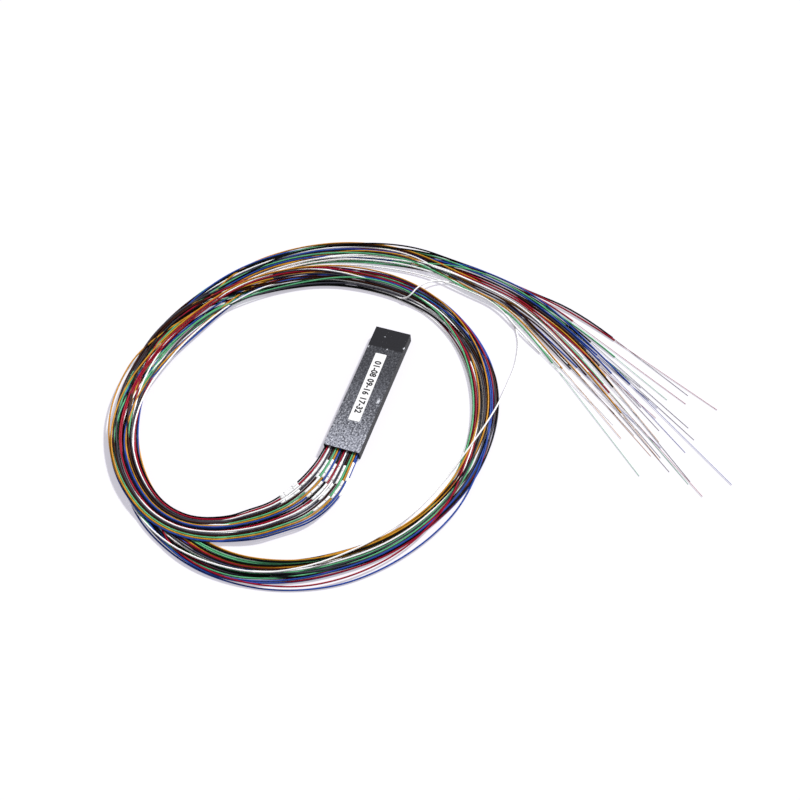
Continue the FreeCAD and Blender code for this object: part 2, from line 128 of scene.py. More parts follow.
# Tails: their heading where they leave the coil, in degrees, and the share of their length that
# keeps it. Neighbours lie in three layers, which fall towards the jackets' ends, and so do the bare
# tips. The row of tails is COIL_EXIT_WIDTH wide at the coil. TAILS has, from the outside of the coil
# inwards, each fibre's number, the end of its jacket and its tip.
TAIL_HEADING = 14.0
TAIL_SHARE = 0.31
TAIL_LAYERS = (0.0005, 0.0015, 0.0025)
TAIL_FALL = (1.0, 0.80, 0.45, 0.20)
TIP_HEIGHTS = (0.00013, 0.00026, 0.00040)
COIL_EXIT_WIDTH = 0.018
TAILS = (
    (8, (-0.0738, 0.1145), (-0.0484, 0.1617)),
    (15, (-0.0723, 0.1160), (-0.0439, 0.1780)),
    (9, (-0.0465, 0.1310), (-0.0015, 0.1944)),
    (16, (-0.0675, 0.1040), (-0.0285, 0.1664)),
    (7, (-0.0785, 0.0910), (-0.0428, 0.1618)),
    (3, (-0.0745, 0.0880), (-0.0490, 0.1305)),
    (24, (-0.0640, 0.1065), (-0.0222, 0.1708)),
    (11, (-0.0615, 0.1190), (-0.0425, 0.1519)),
    (1, (-0.0600, 0.1095), (-0.0357, 0.1482)),
    (17, (-0.0505, 0.1200), (-0.0134, 0.1682)),
    (5, (-0.0700, 0.0950), (-0.0460, 0.1370)),
    (4, (-0.0665, 0.0960), (-0.0395, 0.1430)),
    (12, (-0.0535, 0.1125), (-0.0225, 0.1525)),
    (13, (-0.0615, 0.1030), (-0.0338, 0.1401)),
    (23, (-0.0545, 0.1095), (-0.0295, 0.1490)),
    (32, (-0.0420, 0.1230), (0.0028, 0.1744)),
    (2, (-0.0475, 0.1175), (-0.0157, 0.1540)),
    (31, (-0.0380, 0.1220), (0.0095, 0.1820)),
    (19, (-0.0425, 0.1175), (0.0046, 0.1738)),
    (6, (-0.0560, 0.1030), (-0.0270, 0.1410)),
    (14, (-0.0475, 0.1080), (-0.0170, 0.1480)),
    (21, (-0.0440, 0.1120), (-0.0065, 0.1570)),
    (10, (-0.0275, 0.1310), (-0.0050, 0.1568)),
    (28, (-0.0490, 0.0975), (-0.0157, 0.1408)),
    (20, (-0.0455, 0.1075), (0.0003, 0.1631)),
    (25, (-0.0490, 0.1015), (-0.0123, 0.1557)),
    (29, (-0.0470, 0.0985), (-0.0259, 0.1279)),
    (18, (-0.0440, 0.1045), (-0.0061, 0.1521)),
    (22, (-0.0495, 0.0960), (-0.0200, 0.1410)),
    (26, (-0.0460, 0.0940), (-0.0120, 0.1350)),
    (30, (-0.0465, 0.0925), (-0.0190, 0.1290)),
    (27, (-0.0480, 0.0880), (0.0072, 0.1493)),
    (0, (-0.0525, 0.0800), (-0.0270, 0.1170)),
)
TAIL_ROWS = {tail[0]: row for row, tail in enumerate(TAILS)}

# Colours across the bundle, from the coil's middle outwards, at angles along the coil.
COLOURS_ACROSS = {
    110.0: "blue orange green white red slate black brown",
    150.0: "black green brown slate blue orange white red",
    185.0: "black brown slate green white red orange blue",
    250.0: "green red orange white slate brown black blue",
    315.0: "orange brown white green black slate red blue",
    365.0: "orange brown black white green slate red blue",
    430.0: "blue orange black red green white slate brown",
    505.0: "white slate red green orange brown blue black",
    540.0: "brown slate green white blue red orange black",
}

# Where each sleeve starts, measured along its fibre from the housing: outputs 1 to 32 in turn.
SLEEVE_STARTS = (
    0.0055, 0.0172, 0.0280, 0.0085, 0.0205, 0.0070, 0.0215, 0.0090,
    0.0210, 0.0070, 0.0187, 0.0080, 0.0300, 0.0153, 0.0270, 0.0260,
    0.0135, 0.0290, 0.0160, 0.0310, 0.0090, 0.0220, 0.0315, 0.0120,
    0.0240, 0.0100, 0.0300, 0.0170, 0.0310, 0.0180, 0.0315, 0.0140,
)

OUTPUTS = 32
COLUMNS = 16
JACKET_DIAMETER = 0.0009
COATED_DIAMETER = 0.00025

UP = (0.0, 0.0, 1.0)

# Height of the built-in font's capitals as a share of its size.
CAPITAL_SHARE = 0.70


class JacketColour(Enum):
    """The eight jacket colours in their usual order, as linear red, green and blue."""

    BLUE = (0.022, 0.068, 0.350)
    ORANGE = (0.570, 0.265, 0.024)
    GREEN = (0.120, 0.455, 0.215)
    BROWN = (0.034, 0.008, 0.004)
    SLATE = (0.050, 0.050, 0.066)
    WHITE = (0.950, 0.950, 0.950)
    RED = (0.315, 0.006, 0.026)
    BLACK = (0.002, 0.002, 0.003)

    @property
    def word(self) -> str:
        """The colour's name in small letters."""
        return self.name.lower()


def colour_of(number: int) -> JacketColour:
    """Return a fibre's jacket colour: the eight in turn, and white for the input, number 0."""
    if number == 0:
        return JacketColour.WHITE
    order = list(JacketColour)
    return order[(number - 1) % len(order)]


def dimmed(colour: Sequence[float], share: float) -> tuple[float, ...]:
    """Return a colour with each part multiplied by a share."""
    return tuple(part * share for part in colour)


def name_of(number: int) -> str:
    """Return the name of a fibre's CAD node."""
    return f"output_fibre_{number:02d}" if number else "input_fibre"


def unit(vector: np.ndarray) -> np.ndarray:
    """Return a vector or rows of vectors at length one."""
    return vector / np.linalg.norm(vector, axis=-1, keepdims=True)


def blended(places: Sequence[float], values: np.ndarray, at: np.ndarray) -> np.ndarray:
    """Return rows of values between places, each stretch eased by half a cosine wave.

    Args:
        places: Increasing places where the rows are known.
        values: One row for each place.
        at: Places to read.

    Returns:
        One row for each place in at.
    """
    known = np.asarray(places, dtype=float)
    table = np.asarray(values, dtype=float)
    left = np.clip(np.searchsorted(known, at, side="right") - 1, 0, len(known) - 2)
    share = (at - known[left]) / (known[left + 1] - known[left])
    eased = (0.5 - 0.5 * np.cos(math.pi * np.clip(share, 0.0, 1.0)))[:, None]
    return table[left] * (1.0 - eased) + table[left + 1] * eased


def window(at: np.ndarray, low: float, high: float, fade: float) -> np.ndarray:
    """Return 1 between two places and a smooth fall to 0 over a width outside them."""
    share = np.clip(np.minimum(at - low + fade, high + fade - at) / fade, 0.0, 1.0)
    return share * share * (3.0 - 2.0 * share)


def on_coil(angles: np.ndarray, radii: np.ndarray) -> np.ndarray:
    """Return X and Y at angles in degrees, clockwise from +X, and radii about the coil's middle."""
    turn = np.radians(angles)
    return COIL_CENTRE + radii[:, None] * np.stack((np.cos(turn), -np.sin(turn)), axis=1)


# ---------------- shader tools


class Socket:
    """A number socket with arithmetic: each operation adds one Math node."""

    def __init__(self, graph: "Graph", link: NodeSocket) -> None:
        """Keep the socket and the graph that it belongs to."""
        self.graph = graph
        self.link = link

    def _math(self, operation: str, *values: object) -> "Socket":
        """Return the socket of a Math node fed with these values."""
        made = self.graph.node("ShaderNodeMath", {"operation": operation}, dict(enumerate(values)))
        return Socket(self.graph, made.outputs[0])

    def __add__(self, other: object) -> "Socket":
        """Return the sum."""
        return self._math("ADD", self, other)

    __radd__ = __add__

    def __sub__(self, other: object) -> "Socket":
        """Return the difference."""
        return self._math("SUBTRACT", self, other)

    def __rsub__(self, other: object) -> "Socket":
        """Return the difference the other way round."""
        return self._math("SUBTRACT", other, self)

    def __mul__(self, other: object) -> "Socket":
        """Return the product."""
        return self._math("MULTIPLY", self, other)

    __rmul__ = __mul__

    def clamped(self) -> "Socket":
        """Return this held between 0 and 1."""
        made = self.graph.node("ShaderNodeClamp", {}, {0: self})
        return Socket(self.graph, made.outputs[0])

    def ramped(self, low: float, high: float) -> "Socket":
        """Return a smooth step from 0 at low to 1 at high."""
        made = self.graph.node("ShaderNodeMapRange", {"interpolation_type": "SMOOTHSTEP"},
                               {0: self, 1: low, 2: high, 3: 0.0, 4: 1.0})
        return Socket(self.graph, made.outputs[0])


class Graph:
    """The node tree of one material."""

    def __init__(self, name: str) -> None:
        """Start a material with a Principled shader alone."""
        self.material = bpy.data.materials.new(name)
        self.material.use_nodes = True
        self.tree = self.material.node_tree
        self.shader = next(n for n in self.tree.nodes if n.type == "BSDF_PRINCIPLED")

    def node(self, kind: str, settings: Mapping[str, object], feeds: Mapping[int | str, object]) -> Node:
        """Add a node.

        Args:
            kind: The node's type.
            settings: Attributes to set first; "stops" gives a ramp's places and colours.
            feeds: Values or links for the node's sockets.

        Returns:
            The node.
        """
        made = self.tree.nodes.new(kind)
        for name, value in settings.items():
            if name == "stops":
                self._fill_ramp(made, value)
            else:
                setattr(made, name, value)
        for key, value in feeds.items():
            self.feed(made.inputs[key], value)
        return made

    @staticmethod
    def _fill_ramp(ramp: Node, stops: Sequence[tuple[float, tuple[float, ...]]]) -> None:
        """Give a colour ramp its stops."""
        elements = ramp.color_ramp.elements
        while len(elements) < len(stops):
            elements.new(0.5)
        for element, (place, colour) in zip(elements, stops):
            element.position = place
            element.color = (*colour, 1.0)

    def feed(self, socket: NodeSocket, value: object) -> None:
        """Link a socket to another, or set its value."""
        if isinstance(value, Socket):
            self.tree.links.new(value.link, socket)
        elif isinstance(value, NodeSocket):
            self.tree.links.new(value, socket)
        elif isinstance(value, tuple) and len(value) == 3 and len(socket.default_value) == 4:
            socket.default_value = (*value, 1.0)
        else:
            socket.default_value = value

    def place(self) -> NodeSocket:
        """Return the point of the surface in the model's frame."""
        return self.node("ShaderNodeTexCoord", {}, {}).outputs["Object"]

    def parts(self, vector: NodeSocket) -> tuple[Socket, Socket, Socket]:
        """Return a vector's X, Y and Z."""
        split = self.node("ShaderNodeSeparateXYZ", {}, {0: vector})
        return tuple(Socket(self, out) for out in split.outputs)

    def stretched(self, vector: NodeSocket, scale: Triple) -> NodeSocket:
        """Return a vector with each of its parts scaled."""
        return self.node("ShaderNodeMapping", {}, {"Vector": vector, "Scale": scale}).outputs[0]

    def noise(self, vector: NodeSocket, scale: float, detail: float = 2.0,
              roughness: float = 0.5) -> Socket:
        """Return a noise between 0 and 1 with a given number of waves per metre."""
        made = self.node("ShaderNodeTexNoise", {}, {"Vector": vector, "Scale": scale, "Detail": detail,
                                                    "Roughness": roughness})
        return Socket(self, made.outputs["Fac"])

    def spot(self, vector: NodeSocket, middle: Triple, size: Triple) -> Socket:
        """Return 1 at a place, falling to 0 at the edge of an oval of this size around it."""
        apart = self._vector("SUBTRACT", vector, middle).outputs[0]
        away = self._vector("LENGTH", self._vector("DIVIDE", apart, size).outputs[0]).outputs["Value"]
        return (1.0 - Socket(self, away)).clamped()

    def _vector(self, operation: str, *values: object) -> Node:
        """Return a Vector Math node fed with these values."""
        return self.node("ShaderNodeVectorMath", {"operation": operation}, dict(enumerate(values)))

    def mixed(self, first: object, second: object, share: object) -> NodeSocket:
        """Return a colour between two, by share."""
        made = self.node("ShaderNodeMix", {"data_type": "RGBA"}, {0: share, 6: first, 7: second})
        return made.outputs[2]

    def bump(self, height: Socket, distance: float, strength: float) -> None:
        """Give the shader a relief of this height."""
        made = self.node("ShaderNodeBump", {}, {"Height": height, "Distance": distance,
                                                "Strength": strength})
        self.feed(self.shader.inputs["Normal"], made.outputs[0])

    def shade(self, **feeds: object) -> Material:
        """Feed the Principled shader by its sockets' names, with _ for a space, and return the material."""
        for name, value in feeds.items():
            self.feed(self.shader.inputs[name.replace("_", " ")], value)
        return self.material


# ---------------- finishes


@dataclass(frozen=True)
class JacketFinish:
    """Smooth extruded jacket in one colour, with faint cloudiness and specks of dust."""

    colour: JacketColour
    roughness: float = 0.30
    shine: float = 0.11
    depth: float = 0.80
    white_depth: float = 0.97
    dust_colour: Triple = (0.55, 0.55, 0.53)
    dust_share: float = 0.2
    relief: float = 0.00002

    def material(self) -> Material:
        """Return the jacket's material."""
        graph = Graph(f"jacket_{self.colour.word}")
        place = graph.place()
        cloud = graph.noise(place, 240.0)
        depth = self.white_depth if self.colour is JacketColour.WHITE else self.depth
        deep = dimmed(self.colour.value, depth)
        dust = ((graph.noise(place, 2600.0, 1.0) - 0.72) * 6.0).clamped()
        plain = graph.mixed(deep, self.colour.value, cloud.ramped(0.3, 0.6))
        graph.bump(graph.noise(place, 900.0, 1.0), self.relief, 0.35)
        return graph.shade(Base_Color=graph.mixed(plain, self.dust_colour, dust * self.dust_share),
                           Roughness=cloud * 0.12 + self.roughness, Specular_IOR_Level=self.shine)


@dataclass(frozen=True)
class CoatedFinish:
    """Thin tinted coating of a bare fibre."""

    colour: JacketColour
    roughness: float = 0.35
    shine: float = 0.05
    depth: float = 0.75

    def material(self) -> Material:
        """Return the coating's material."""
        graph = Graph(f"coating_{self.colour.word}")
        cloud = graph.noise(graph.place(), 500.0)
        deep = dimmed(self.colour.value, self.depth)
        return graph.shade(Base_Color=graph.mixed(deep, self.colour.value, cloud),
                           Roughness=self.roughness, Specular_IOR_Level=self.shine)


@dataclass(frozen=True)
class AnodisedFinish:
    """Blasted black sheet metal: a plain dark band at the rear, and a painted sheen on the top that grows
    to the front.

    The tones are the painted sheen's brightness at places along X, and marks are the middles and sizes of
    chips.
    """

    dark: Triple = (0.015, 0.015, 0.018)
    side: Triple = (0.020, 0.020, 0.026)
    # Colour of the real chips, and of the painted glints in the sheen.
    speck: Triple = (0.70, 0.72, 0.77)
    # Bluish colour of the painted sheen on the top.
    tint: Triple = (0.80, 0.83, 0.99)
    band_end: float = -0.0270
    shine: float = 0.18
    relief: float = 0.00005
    # Brightness of the painted sheen along X: a highlight put into the colour, lighter towards the front.
    tones: tuple[tuple[float, float], ...] = (
        (-0.024, 0.054), (-0.013, 0.058), (-0.002, 0.092), (0.005, 0.118), (0.012, 0.118),
        (0.020, 0.160), (0.028, 0.240), (0.034, 0.370), (0.040, 0.480),
    )
    marks: tuple[tuple[Triple, Triple], ...] = (
        ((-0.0302, 0.0097, 0.006), (0.0016, 0.0010, 0.002)),
        ((0.0068, 0.0082, 0.006), (0.0034, 0.0016, 0.002)),
        ((-0.0268, 0.0012, 0.006), (0.0010, 0.0008, 0.002)),
        ((-0.0258, -0.0094, 0.006), (0.0012, 0.0008, 0.002)),
        ((0.0290, 0.0092, 0.006), (0.0040, 0.0005, 0.002)),
        ((-0.0345, -0.0030, 0.006), (0.0009, 0.0006, 0.002)),
    )

    def material(self) -> Material:
        """Return the housing's material: the band, the painted sheen and the chips on top, and plain sides.
        """
        graph = Graph("black_anodised")
        place = graph.place()
        x, _, _ = graph.parts(place)
        _, _, up = graph.parts(graph.node("ShaderNodeNewGeometry", {}, {}).outputs["Normal"])
        cloud = graph.noise(place, 110.0, 3.0)
        grain = graph.noise(place, 1000.0, 4.0, 0.7)
        band = (x + cloud * 0.0004).ramped(self.band_end - 0.0001, self.band_end + 0.0005)
        # Painted sheen on the housing's top, a highlight put into the colour.
        face = self._face(graph, x, cloud, grain)
        rear = graph.mixed(self.dark, self.side, ((grain - 0.45) * 5.0).clamped())
        top = graph.mixed(rear, face, band)
        chips = self._chips(graph, place)
        graph.bump(grain * (0.25 + 0.75 * band), self.relief, 0.5)
        # Only faces that point up get the painted sheen; the sides keep the plain dark colour.
        whole = graph.mixed(graph.mixed(self.side, top, up.ramped(0.6, 0.9)), self.speck, chips)
        return graph.shade(Base_Color=whole, Roughness=0.60 - 0.14 * grain, Specular_IOR_Level=self.shine)

    def _face(self, graph: Graph, x: Socket, cloud: Socket, grain: Socket) -> NodeSocket:
        """Return the top's painted sheen with its dark pits and painted glints, which get stronger to the
        front with the sheen.
        """
        forward = x.ramped(-0.010, 0.042)
        dull = ((0.52 - grain) * (4.6 + 2.4 * forward)).clamped()
        # Painted glints: bright grains of the blasted surface, stronger towards the front with the painted
        # sheen.
        glints = ((grain - 0.50) * (0.9 + 5.0 * forward)).clamped()
        # The painted sheen itself, shifted a little along X by the cloud.
        sheen_colour = self._bloom(graph, x + (cloud - 0.5) * 0.014)
        return graph.mixed(graph.mixed(sheen_colour, self.dark, dull), self.speck, glints)

    def _bloom(self, graph: Graph, x: Socket) -> NodeSocket:
        """Return the painted sheen's colour at places along X."""
        low, high = self.tones[0][0], self.tones[-1][0]
        stops = tuple(((at - low) / (high - low), dimmed(self.tint, tone)) for at, tone in self.tones)
        share = (x - low) * (1.0 / (high - low))
        return graph.node("ShaderNodeValToRGB", {"stops": stops}, {0: share}).outputs[0]

    def _chips(self, graph: Graph, place: NodeSocket) -> Socket:
        """Return where the finish is chipped or scratched through."""
        ragged = graph.noise(graph.stretched(place, (1.0, 1.6, 1.0)), 1400.0, 3.0, 0.8)
        chips = [((graph.spot(place, middle, size) * 0.44 + ragged - 0.72) * 7.0).clamped()
                 for middle, size in self.marks]
        return sum(chips[1:], chips[0]).clamped()


@dataclass(frozen=True)
class PlainFinish:
    """A moulded or cast surface in one colour, with a fine grain and a little unevenness."""

    name: str
    colour: Triple
    roughness: float
    grain: float = 1500.0
    relief: float = 0.00003
    depth: float = 0.93
    transmission: float = 0.0

    def material(self) -> Material:
        """Return the surface's material."""
        graph = Graph(self.name)
        place = graph.place()
        cloud = graph.noise(place, self.grain / 12, 3.0)
        deep = dimmed(self.colour, self.depth)
        graph.bump(graph.noise(place, self.grain, 2.0), self.relief, 0.5)
        return graph.shade(Base_Color=graph.mixed(deep, self.colour, cloud),
                           Roughness=cloud * 0.1 + self.roughness,
                           Transmission_Weight=self.transmission)


# ---------------- mesh tools


def placed(name: str, data: ID) -> Object:
    """Return a new object of the scene that shows this data."""
    made = bpy.data.objects.new(name, data)
    bpy.context.scene.collection.objects.link(made)
    return made


def add_mesh(name: str, points: np.ndarray, faces: Sequence[Sequence[int]],
             materials: Sequence[Material], slots: Sequence[int]) -> Object:
    """Add a smooth mesh object with its place in its points.

    Args:
        name: The object's name.
        points: Rows of X, Y and Z.
        faces: The numbers of each face's points.
        materials: The materials.
        slots: Which of the materials each face has.

    Returns:
        The object.
    """
    mesh = bpy.data.meshes.new(name)
    mesh.from_pydata(points.tolist(), [], faces)
    for material in materials:
        mesh.materials.append(material)
    mesh.polygons.foreach_set("material_index", slots)
    mesh.polygons.foreach_set("use_smooth", [True] * len(faces))
    mesh.update()
    return placed(name, mesh)


def lofted(rings: np.ndarray) -> tuple[np.ndarray, np.ndarray]:
    """Return the points and four-sided faces of a skin through rings, the last joined to the first.

    Args:
        rings: An array of rings, points and three coordinates.

    Returns:
        The points and the faces.
    """
    count, around = rings.shape[:2]
    ring = np.arange(count)[:, None] * around
    next_ring = np.roll(ring, -1, axis=0)
    place = np.arange(around)[None, :]
    next_place = np.roll(place, -1, axis=1)
    corners = (ring + place, ring + next_place, next_ring + next_place, next_ring + place)
    return rings.reshape(-1, 3), np.stack([corner.ravel() for corner in corners], axis=1)


def text_mesh(words: str, height: float, fineness: int = 3, weight: float = 0.022,
              spacing: float = 1.0) -> Mesh:
    """Return a flat mesh of words with its middle at the origin.

    Args:
        words: What it says.
        height: Height of the capitals.
        fineness: Points in each bend of a letter.
        weight: How much bolder each stroke is on each side, as a share of the height.
        spacing: Distance between letters as a share of the usual.

    Returns:
        The mesh.
    """
    curve = bpy.data.curves.new("words", "FONT")
    curve.body = words
    curve.align_x = "CENTER"
    curve.align_y = "CENTER"
    curve.resolution_u = fineness
    curve.size = height / CAPITAL_SHARE
    curve.offset = height * weight
    curve.space_character = spacing
    holder = placed("words", curve)
    mesh = evaluated(holder)
    bpy.data.objects.remove(holder)
    bpy.data.curves.remove(curve)
    return mesh


def evaluated(piece: Object) -> Mesh:
    """Return the mesh that a text or a spline makes."""
    bpy.context.view_layer.update()
    return bpy.data.meshes.new_from_object(piece.evaluated_get(bpy.context.evaluated_depsgraph_get()))


def mesh_points(mesh: Mesh) -> np.ndarray:
    """Return a mesh's points as rows."""
    points = np.zeros(len(mesh.vertices) * 3)
    mesh.vertices.foreach_get("co", points)
    return points.reshape(-1, 3)


# ---------------- routes


@dataclass
class Coil:
    """Works out where every fibre lies in the coil, from the lead's order to the tails' order.

    Angles are in degrees, and a stretch of the coil is its low end, high end and fade. Up to
    lead_kept the fibres keep the lead's order, in which row_shift puts the lower row's just outside
    the upper's. Wander is the spread of each fibre's drift from its colour's place, and keep the
    share of it left at the next place. Each fibre has random heights, knot_step apart and up to
    layers high. The bundle is lifted by rise where it is risen, and the share flatness of its
    heights is taken back where it is flattened. One round of settling moves both jackets of a pair
    apart by the share push of their overlap, but only the share sideways of that across the bundle,
    where homing draws them back to their places.
    """

    step: float = 10.0
    lead_kept: float = 48.0
    row_shift: float = 0.2
    wander: float = 2.5
    keep: float = 0.80
    stray_fade: float = 20.0
    knots: int = 8
    knot_step: float = 95.0
    layers: float = 0.0019
    rise: float = 0.0028
    risen: Triple = (35.0, 116.0, 42.0)
    flatness: float = 0.7
    flattened: Triple = (395.0, 480.0, 35.0)
    floor: float = JACKET_DIAMETER / 2
    rounds: int = 220
    push: float = 0.45
    sideways: float = 0.4
    homing: float = 0.02
    sinking: float = 0.000004
    evening: float = 0.06
    seed: int = 11
    angles: np.ndarray = field(init=False)
    radii: np.ndarray = field(init=False)
    heights: np.ndarray = field(init=False)

    def __post_init__(self) -> None:
        """Work out the radius and height of every fibre at every step."""
        self.angles = np.arange(0.0, COIL_END + self.step / 2, self.step)
        self._lay()
        self._settle()

    @property
    def turn(self) -> int:
        """The steps in one whole turn."""
        return int(round(360.0 / self.step))

    def _lay(self) -> None:
        """Give each fibre its place across the bundle at each step, and a first height."""
        angle, radius, half = np.array(COIL_PATH).T
        middle = np.interp(self.angles, angle, radius)
        width = np.interp(self.angles, angle, half) - JACKET_DIAMETER / 2
        self.radii = middle[:, None] + width[:, None] * self._shares()
        for number, *stations in STRAYS:
            places, values = np.array(stations).T
            held = window(self.angles, places[0], places[-1], self.stray_fade)
            target = np.interp(self.angles, places, values)
            self.radii[:, number - 1] += held * (target - self.radii[:, number - 1])
        random = np.random.default_rng(self.seed)
        drawn = random.uniform(0.0, self.layers, (self.knots, OUTPUTS))
        layers = blended(self.knot_step * np.arange(self.knots), drawn, self.angles)
        layers *= 1.0 - self.flatness * window(self.angles, *self.flattened)[:, None]
        above = self.rise * window(self.angles, *self.risen)
        self.heights = self.floor + above[:, None] + layers

    def _shares(self) -> np.ndarray:
        """Return each output fibre's place across the bundle, from -1 inside to 1 outside.

        The fibres are ranked by their colours' order at a few angles, with a drift of their own
        that changes slowly, and pass from each rank to the next along half a cosine wave.
        """
        numbers = np.arange(1, OUTPUTS + 1)
        words = [colour_of(number).word for number in numbers]
        random = np.random.default_rng(self.seed + 1)
        drift = random.normal(0.0, self.wander, OUTPUTS)
        columns = (numbers - 1) % COLUMNS
        lead = (COLUMNS - 1 - columns) / 2.0 + (numbers > COLUMNS) * self.row_shift
        keys = [lead, lead]
        for colours in COLOURS_ACROSS.values():
            keys.append(np.array([colours.split().index(word) for word in words]) + drift)
            fresh = random.normal(0.0, self.wander, OUTPUTS)
            drift = self.keep * drift + math.sqrt(1.0 - self.keep ** 2) * fresh
        keys.append(np.array([-TAIL_ROWS[number] for number in numbers]))
        ranks = np.stack(keys).argsort(axis=1).argsort(axis=1)
        places = (self.angles[0], self.lead_kept, *COLOURS_ACROSS, self.angles[-1])
        return blended(places, (ranks + 0.5) / OUTPUTS * 2.0 - 1.0, self.angles)

    def _settle(self) -> None:
        """Push apart fibres that overlap across the bundle, and let them sink to the floor.

        The two passes share a cross-section wherever the second lies beside the first, so each
        section holds both. Every round moves each overlapping pair apart along the line between
        them, lowers all fibres a little, and evens the heights and shifts a little along each fibre.
        """
        home = self.radii.copy()
        for _ in range(self.rounds):
            radii = self._sections(self.radii)
            heights = self._sections(self.heights)
            apart_r = radii[:, :, None] - radii[:, None, :]
            apart_z = heights[:, :, None] - heights[:, None, :]
            gap = np.hypot(apart_r, apart_z)
            gap += np.eye(radii.shape[1])[None]
            push = np.clip(JACKET_DIAMETER - gap, 0.0, None) / gap * self.push
            self.radii += self.sideways * self._joined((push * apart_r).sum(axis=2))
            self.heights += self._joined((push * apart_z).sum(axis=2))
            self.radii += self.homing * (home - self.radii)
            self.heights -= self.sinking
            self.heights = self._evened(self.heights)
            self.radii = home + self._evened(self.radii - home)
            self.heights = np.maximum(self.heights, self.floor)

    def _sections(self, values: np.ndarray) -> np.ndarray:
        """Return both passes' values side by side, with far-off ones where there is no second pass."""
        missing = 2 * self.turn - len(values)
        far_off = np.tile(10.0 + np.arange(OUTPUTS), (missing, 1))
        return np.hstack((values[:self.turn], np.vstack((values[self.turn:], far_off))))

    def _joined(self, moves: np.ndarray) -> np.ndarray:
        """Return moves of the sections as moves along the fibres."""
        second = len(self.angles) - self.turn
        return np.vstack((moves[:, :OUTPUTS], moves[:second, OUTPUTS:]))

    def _evened(self, values: np.ndarray) -> np.ndarray:
        """Return values moved a little towards the mean of their neighbours along each fibre."""
        even = values.copy()
        even[1:-1] = (values[:-2] + values[2:]) / 2
        return values + self.evening * (even - values)

    def points(self, number: int) -> np.ndarray:
        """Return one output fibre's points from the second step to the one before the last.

        A quadratic spline passes inside its points, so they stand out by the cosine of half a step.
        """
        radius = self.radii[1:-1, number - 1] / math.cos(math.radians(self.step / 2))
        return np.column_stack((on_coil(self.angles[1:-1], radius), self.heights[1:-1, number - 1]))


@dataclass
class Routes:
    """The points of each fibre, from inside the housing through the coil to its bare tip."""

    coil: Coil = field(default_factory=Coil)

    def lead(self, number: int) -> np.ndarray:
        """Return one fibre's points from inside the housing to the start of the coil."""
        if number:
            place = (COLUMNS - 1) / 2 - (number - 1) % COLUMNS
            row = 1 if number <= COLUMNS else -1
        else:
            place, row = 0.0, 0
        middles = np.array(LEAD_POINTS)
        runs = unit(np.diff(middles, axis=0))
        headings = np.vstack(((1.0, 0.0), unit(runs[:-1] + runs[1:]), runs[-1]))
        left = np.column_stack((-headings[:, 1], headings[:, 0]))
        flat = middles + left * (place * np.array(LEAD_SPREAD))[:, None]
        height = np.array(LEAD_HEIGHT) + row * np.array(LEAD_ROW_RISE)
        points = np.column_stack((flat, height))
        return np.vstack(((JACKET_START, *points[0, 1:]), points))

    def tail(self, number: int) -> np.ndarray:
        """Return one fibre's points from the end of the coil to the end of its jacket."""
        order = TAIL_ROWS[number]
        _, jacket_end, tip = TAILS[order]
        turn = math.radians(TAIL_HEADING)
        heading = np.array((math.sin(turn), math.cos(turn)))
        right = np.array((heading[1], -heading[0]))
        middle = on_coil(np.array((COIL_END,)), np.array((COIL_PATH[-1][1],)))[0]
        start = middle + right * ((order / (len(TAILS) - 1) - 0.5) * COIL_EXIT_WIDTH)
        end = np.array(jacket_end)
        handle = TAIL_SHARE * np.linalg.norm(end - start)
        last = unit(np.array(tip) - end)
        flat = np.vstack((start, start + heading * handle, end - last * handle, end))
        height = np.array(TAIL_FALL) * TAIL_LAYERS[order % len(TAIL_LAYERS)]
        return np.column_stack((flat, np.maximum(height, JACKET_DIAMETER / 2)))

    def tip(self, number: int) -> np.ndarray:
        """Return the two ends of the bare fibre beyond the jacket."""
        order = TAIL_ROWS[number]
        end = np.array((*TAILS[order][2], TIP_HEIGHTS[order % len(TIP_HEIGHTS)]))
        return np.vstack((self.tail(number)[-1], end))

    def turns(self, number: int) -> np.ndarray:
        """Return one fibre's points between the lead and the tail."""
        if number:
            return self.coil.points(number)
        angle, radius, height = np.array(INPUT_TURNS).T
        return np.column_stack((on_coil(angle, radius), height))

    def whole(self, number: int) -> np.ndarray:
        """Return all the points of one jacketed fibre."""
        return np.vstack((self.lead(number), self.turns(number), self.tail(number)))


# ---------------- sub-assemblies


def add_spline(name: str, points: np.ndarray, radius: float, per_point: int = 6,
               order: int = 3) -> Object:
    """Add a spline through its first and last points, as a round rod.

    Args:
        name: The object's name.
        points: Rows of X, Y and Z.
        radius: The rod's radius.
        per_point: Steps that each stretch is drawn with.
        order: 3 for a quadratic curve, and 2 for straight stretches.

    Returns:
        The object.
    """
    curve = bpy.data.curves.new(name, "CURVE")
    curve.dimensions = "3D"
    curve.resolution_u = per_point
    curve.render_resolution_u = 0
    curve.bevel_depth = radius
    curve.bevel_resolution = 2
    curve.use_fill_caps = True
    spline = curve.splines.new("NURBS")
    spline.points.add(len(points) - 1)
    rows = np.column_stack((points, np.ones(len(points))))
    spline.points.foreach_set("co", rows.ravel())
    spline.order_u = order
    spline.use_endpoint_u = True
    return placed(name, curve)


def spline_line(piece: Object) -> np.ndarray:
    """Return points along a spline's own line, in order."""
    depth = piece.data.bevel_depth
    caps = piece.data.use_fill_caps
    piece.data.bevel_depth = 0.0
    piece.data.use_fill_caps = False
    mesh = evaluated(piece)
    line = mesh_points(mesh)
    bpy.data.meshes.remove(mesh)
    piece.data.bevel_depth = depth
    piece.data.use_fill_caps = caps
    return line


def along(line: np.ndarray, distances: np.ndarray) -> np.ndarray:
    """Return the points at distances along a line of points."""
    travelled = np.concatenate(([0.0], np.cumsum(np.linalg.norm(np.diff(line, axis=0), axis=1))))
    return np.stack([np.interp(distances, travelled, line[:, axis]) for axis in range(3)], axis=1)


